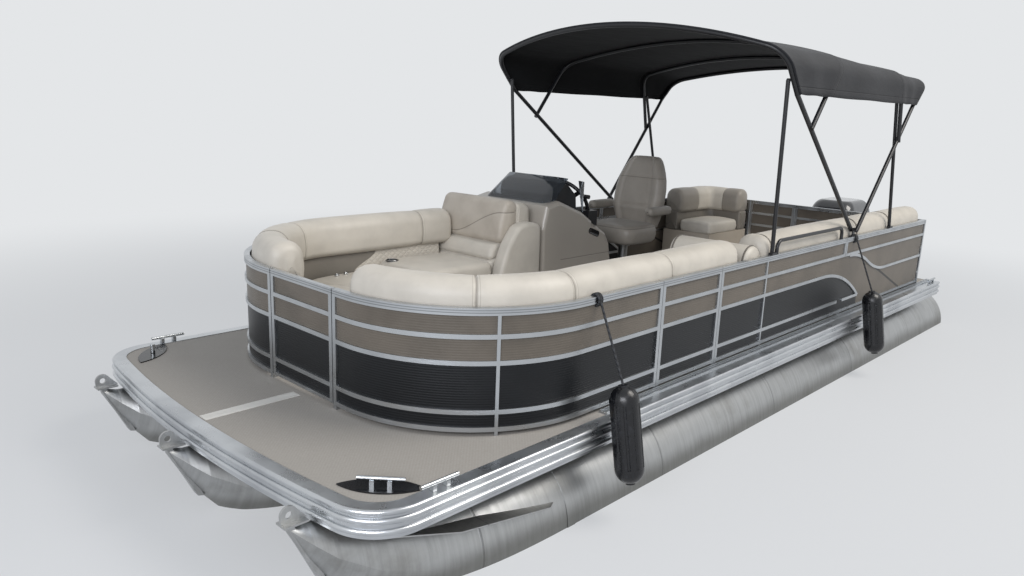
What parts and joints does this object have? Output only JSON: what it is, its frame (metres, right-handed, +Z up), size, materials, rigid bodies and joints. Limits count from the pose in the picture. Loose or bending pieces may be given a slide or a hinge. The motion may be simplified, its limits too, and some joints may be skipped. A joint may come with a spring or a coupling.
{
  "type": "pontoon boat",
  "caption": "Pontoon boat on three tubes with a fenced deck, lounges, a helm console, a folding canopy and an outboard motor.",
  "frame": {"origin": "on the waterline and the centreline, at half the deck's length", "axes": "+X towards the bow, +Y to port, +Z up"},
  "size_m": [7.7947, 2.7721, 3.1446],
  "materials": {
    "aluminium": "brushed",
    "steel": "polished",
    "deck_vinyl": "woven vinyl",
    "panel_black": "gloss paint",
    "panel_tan": "satin paint",
    "seat_base": "matte",
    "cushion": "soft vinyl",
    "console": "moulded",
    "screen": "tinted",
    "black_plastic": "matte",
    "frame_black": "powder coat",
    "canopy": "woven",
    "fender": "satin",
    "line": "braided",
    "motor_black": "gloss paint",
    "propeller_metal": "satin"
  },
  "bodies": {
    "hull": {"tube_port": "aluminium", "tube_center": "aluminium", "tube_starboard": "aluminium", "tow_eyes": "aluminium", "risers": "aluminium", "cross_members": "aluminium", "deck": "deck_vinyl", "rub_rail": "aluminium", "side_sills": "aluminium", "cleats": "steel", "corner_plates": "steel", "fence_port": "aluminium", "fence_starboard": "aluminium", "fence_stern": "aluminium", "panels_black": "panel_black", "panels_tan": "panel_tan", "bow_bases": "seat_base", "bow_seats": "cushion", "bow_backs": "cushion", "chaise_back": "cushion", "chaise_bolster": "cushion", "chaise_base": "seat_base", "aft_bases": "seat_base", "aft_seats": "cushion", "aft_backs": "cushion", "roll_bolster": "cushion", "console": "console", "windscreen": "screen", "steering_column": "black_plastic", "throttle": "black_plastic", "chair_pedestal": "aluminium", "canopy_top": "canopy", "canopy_main_bows": "frame_black", "canopy_second_bows": "frame_black", "canopy_struts": "frame_black", "canopy_pivots": "frame_black", "grab_rail": "frame_black", "fenders": "fender", "fender_lines": "line", "motor_pod": "aluminium", "clamp_bracket": "motor_black"},
    "bow_gate": {"bow_gate": "aluminium", "bow_gate_black": "panel_black", "bow_gate_tan": "panel_tan"},
    "stern_gate": {"stern_gate": "aluminium", "stern_gate_panels": "panel_tan"},
    "chair": {"chair_bracket": "aluminium", "chair_seat": "cushion", "chair_back": "cushion", "chair_arms": "cushion"},
    "wheel": {"steering_wheel": "black_plastic"},
    "tilt": {"swivel_bracket": "motor_black"},
    "engine": {"engine_cover": "motor_black", "midsection": "motor_black"},
    "propeller": {"propeller": "propeller_metal"}
  },
  "joints": [
    {"name": "bow_gate_hinge", "type": "hinge", "parent": "hull", "child": "bow_gate", "pos_m": [2.667, -0.283, 0.75], "axis": [0, 0, 1], "range_deg": [0, 90]},
    {"name": "stern_gate_hinge", "type": "hinge", "parent": "hull", "child": "stern_gate", "pos_m": [-3.02, -0.56, 0.75], "axis": [0, 0, -1], "range_deg": [0, 90]},
    {"name": "chair_swivel", "type": "hinge", "parent": "hull", "child": "chair", "pos_m": [-0.96, -0.69, 0.8], "axis": [0, 0, 1], "continuous": true},
    {"name": "motor_tilt", "type": "hinge", "parent": "hull", "child": "tilt", "pos_m": [-3.7, 0, 0.39], "axis": [0, 1, 0], "range_deg": [0, 65]},
    {"name": "motor_steer", "type": "hinge", "parent": "tilt", "child": "engine", "pos_m": [-3.79, 0, 0.24], "axis": [0, 0, 1], "range_deg": [-30, 30]},
    {"name": "wheel_turn", "type": "hinge", "parent": "hull", "child": "wheel", "pos_m": [-0.165, -0.69, 1.215], "axis": [-0.8192, 0, 0.5736], "range_deg": [-540, 540]},
    {"name": "propeller_spin", "type": "hinge", "parent": "engine", "child": "propeller", "pos_m": [-4.045, 0, -0.44], "axis": [1, 0, 0], "continuous": true}
  ],
  "couplings": [
    {"joint": "wheel_turn", "follows": "motor_steer", "ratio": 18}
  ]
}
